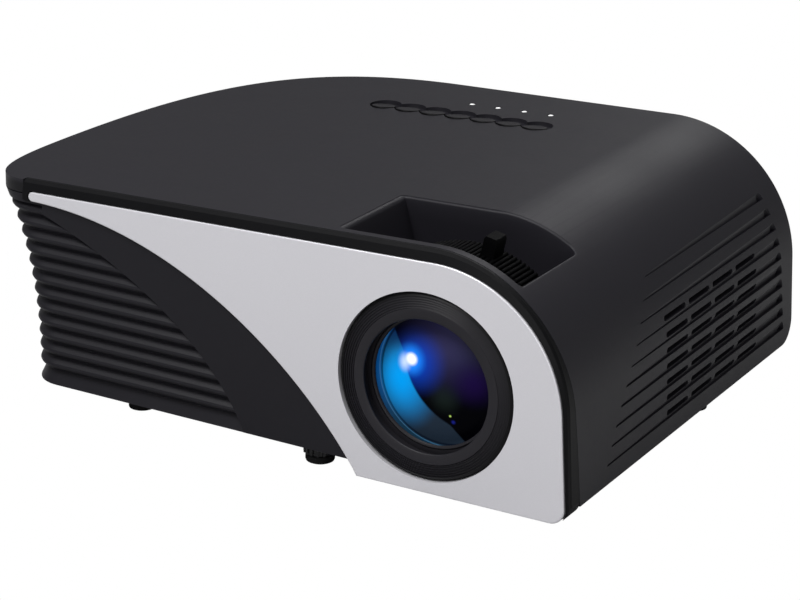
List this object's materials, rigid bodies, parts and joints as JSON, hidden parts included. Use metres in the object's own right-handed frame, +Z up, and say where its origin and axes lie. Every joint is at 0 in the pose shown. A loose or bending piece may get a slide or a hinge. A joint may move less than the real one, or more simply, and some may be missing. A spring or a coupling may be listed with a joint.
{
  "type": "video projector",
  "caption": "Compact video projector with a front lens, focus ring in a finger well, top buttons, ribbed sides, louvres, rear sockets and a screw foot.",
  "frame": {"origin": "centre of the bounding box's footprint, on the plane that the feet stand on", "axes": "+X right as seen from the front, -Y the front with the lens, +Z up"},
  "size_m": [0.203, 0.164, 0.0752],
  "materials": {
    "charcoal": "fine matte texture",
    "silver": "satin silver paint",
    "black": "satin",
    "glass": "coated, polished",
    "clear": "polished",
    "rubber": "matte",
    "steel": "plated",
    "aluminium": "extruded",
    "brass": "turned",
    "laminate": "lacquered board",
    "mirror": "front-silvered"
  },
  "bodies": {
    "housing": {"top_cover": "charcoal", "bottom_case": "charcoal", "front_bezel": "charcoal", "front_panel": "silver", "lens_hood": "black", "lens_sleeve": "black", "ring_clip": "steel", "button_board": "laminate", "tilt_foot_nut": "brass", "light_box": "black", "light_box_lid": "black", "display_panel": "glass", "fresnel_lens_lamp_side": "clear", "fresnel_lens_mirror_side": "clear", "condenser_lens": "clear", "fold_mirror": "mirror", "lamp_board": "aluminium", "heat_sink": "aluminium", "fan_frame": "black", "main_board": "laminate", "power_board": "laminate", "transformer": "steel", "hdmi_socket": "steel", "usb_socket": "steel", "card_slot": "steel", "av_jack": "black", "headphone_jack": "black", "vga_socket": "steel", "power_inlet": "black", "infrared_window": "black", "speaker": "black", "indicator_1": "clear", "indicator_2": "clear", "indicator_3": "clear", "indicator_4": "clear", "foot_1": "rubber", "foot_2": "rubber", "foot_3": "rubber", "foot_4": "rubber", "case_screw_1": "steel", "case_screw_2": "steel", "case_screw_3": "steel", "case_screw_4": "steel"},
    "focus_ring": {"focus_ring": "black"},
    "lens_barrel": {"lens_barrel": "black", "lens_retainer": "black", "front_lens": "glass", "rear_lens": "glass"},
    "fan_rotor": {"fan_rotor": "black"},
    "tilt_foot_pad": {"tilt_foot_pad": "rubber"},
    "tilt_foot_screw": {"tilt_foot_screw": "black"},
    "button_1": {"button_1": "charcoal"},
    "button_2": {"button_2": "charcoal"},
    "button_3": {"button_3": "charcoal"},
    "button_4": {"button_4": "charcoal"},
    "button_5": {"button_5": "charcoal"},
    "button_6": {"button_6": "charcoal"},
    "button_7": {"button_7": "charcoal"}
  },
  "joints": [
    {"name": "focus_turn", "type": "hinge", "parent": "housing", "child": "focus_ring", "pos_m": [0.055, -0.062, 0.0344], "axis": [0, 1, 0], "range_deg": [-45, 18]},
    {"name": "focus_slide", "type": "slide", "parent": "housing", "child": "lens_barrel", "axis": [0, 1, 0], "range_m": [-0.00392, 0.00157]},
    {"name": "fan_spin", "type": "hinge", "parent": "housing", "child": "fan_rotor", "pos_m": [-0.0776, -0.008, 0.0344], "axis": [1, 0, 0], "continuous": true},
    {"name": "tilt_foot_slide", "type": "slide", "parent": "housing", "child": "tilt_foot_pad", "axis": [0, 0, -1], "range_m": [0, 0.009]},
    {"name": "tilt_foot_turn", "type": "hinge", "parent": "tilt_foot_pad", "child": "tilt_foot_screw", "pos_m": [0.0158, -0.073, 0.0126], "axis": [0, 0, -1], "range_deg": [0, 1081]},
    {"name": "button_1_press", "type": "slide", "parent": "housing", "child": "button_1", "axis": [0.0304, 0, -0.9995], "range_m": [0, 0.0007], "stiffness_N_per_m": 300, "springref_m": -0.001},
    {"name": "button_2_press", "type": "slide", "parent": "housing", "child": "button_2", "axis": [0.0304, 0, -0.9995], "range_m": [0, 0.0007], "stiffness_N_per_m": 300, "springref_m": -0.001},
    {"name": "button_3_press", "type": "slide", "parent": "housing", "child": "button_3", "axis": [0.0304, 0, -0.9995], "range_m": [0, 0.0007], "stiffness_N_per_m": 300, "springref_m": -0.001},
    {"name": "button_4_press", "type": "slide", "parent": "housing", "child": "button_4", "axis": [0.0304, 0, -0.9995], "range_m": [0, 0.0007], "stiffness_N_per_m": 300, "springref_m": -0.001},
    {"name": "button_5_press", "type": "slide", "parent": "housing", "child": "button_5", "axis": [0.0304, 0, -0.9995], "range_m": [0, 0.0007], "stiffness_N_per_m": 300, "springref_m": -0.001},
    {"name": "button_6_press", "type": "slide", "parent": "housing", "child": "button_6", "axis": [0.0304, 0, -0.9995], "range_m": [0, 0.0007], "stiffness_N_per_m": 300, "springref_m": -0.001},
    {"name": "button_7_press", "type": "slide", "parent": "housing", "child": "button_7", "axis": [0.0304, 0, -0.9995], "range_m": [0, 0.0007], "stiffness_N_per_m": 300, "springref_m": -0.001}
  ],
  "couplings": [
    {"joint": "focus_turn", "follows": "focus_slide", "rad_per_m": 200},
    {"joint": "tilt_foot_turn", "follows": "tilt_foot_slide", "rad_per_m": 2094.4}
  ]
}
